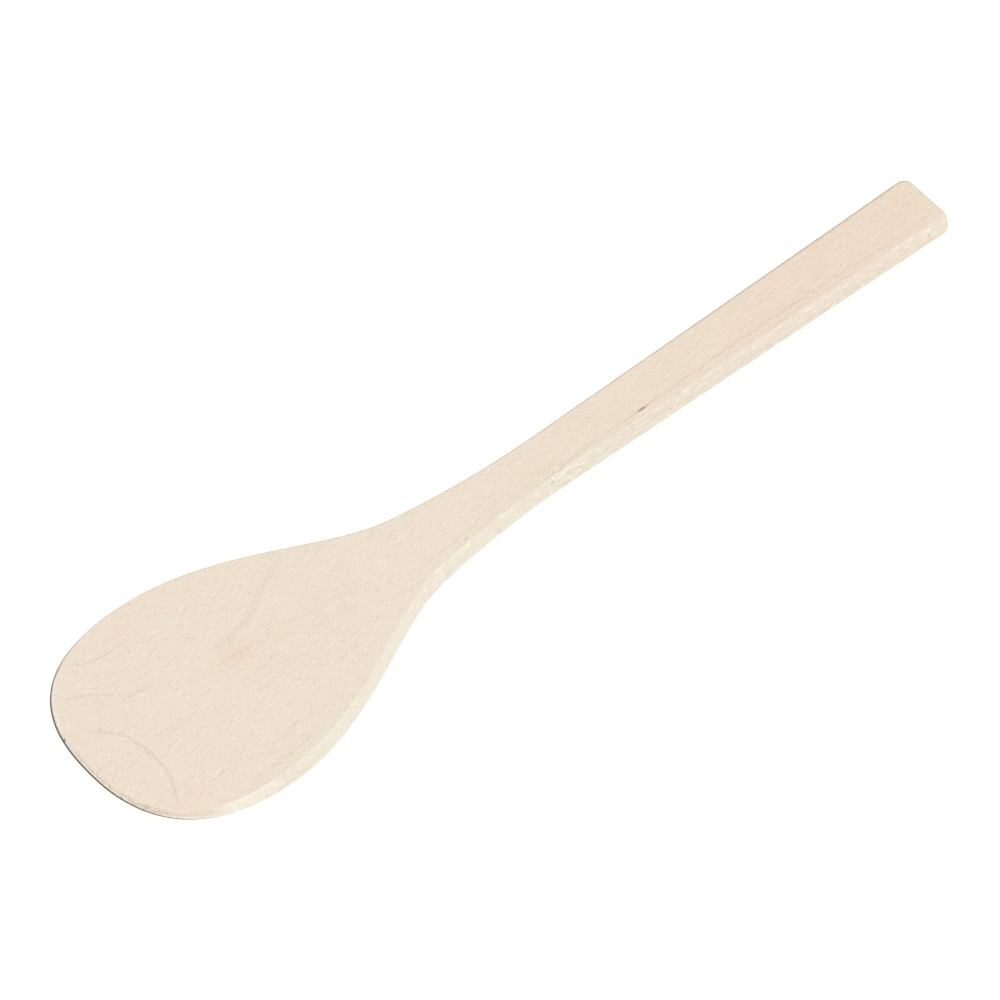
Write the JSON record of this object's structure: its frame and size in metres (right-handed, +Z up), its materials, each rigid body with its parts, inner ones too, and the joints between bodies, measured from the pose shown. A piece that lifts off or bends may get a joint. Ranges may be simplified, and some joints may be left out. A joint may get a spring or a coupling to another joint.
{
  "type": "wooden spatula",
  "caption": "Flat one-piece wooden spatula: a wide egg-shaped blade, thinned below towards its tip, and a slim handle that widens towards its end.",
  "frame": {"origin": "middle of the length and of the width, in the plane on which the flat underside rests", "axes": "+X along the spatula from the blade's tip to the handle's end, +Y across it, +Z up out of the flat upper face"},
  "size_m": [0.36, 0.1, 0.008],
  "materials": {
    "sanded_beech": "bare, fine-sanded, matt"
  },
  "bodies": {
    "root": {"spatula": "sanded_beech"}
  },
  "joints": []
}
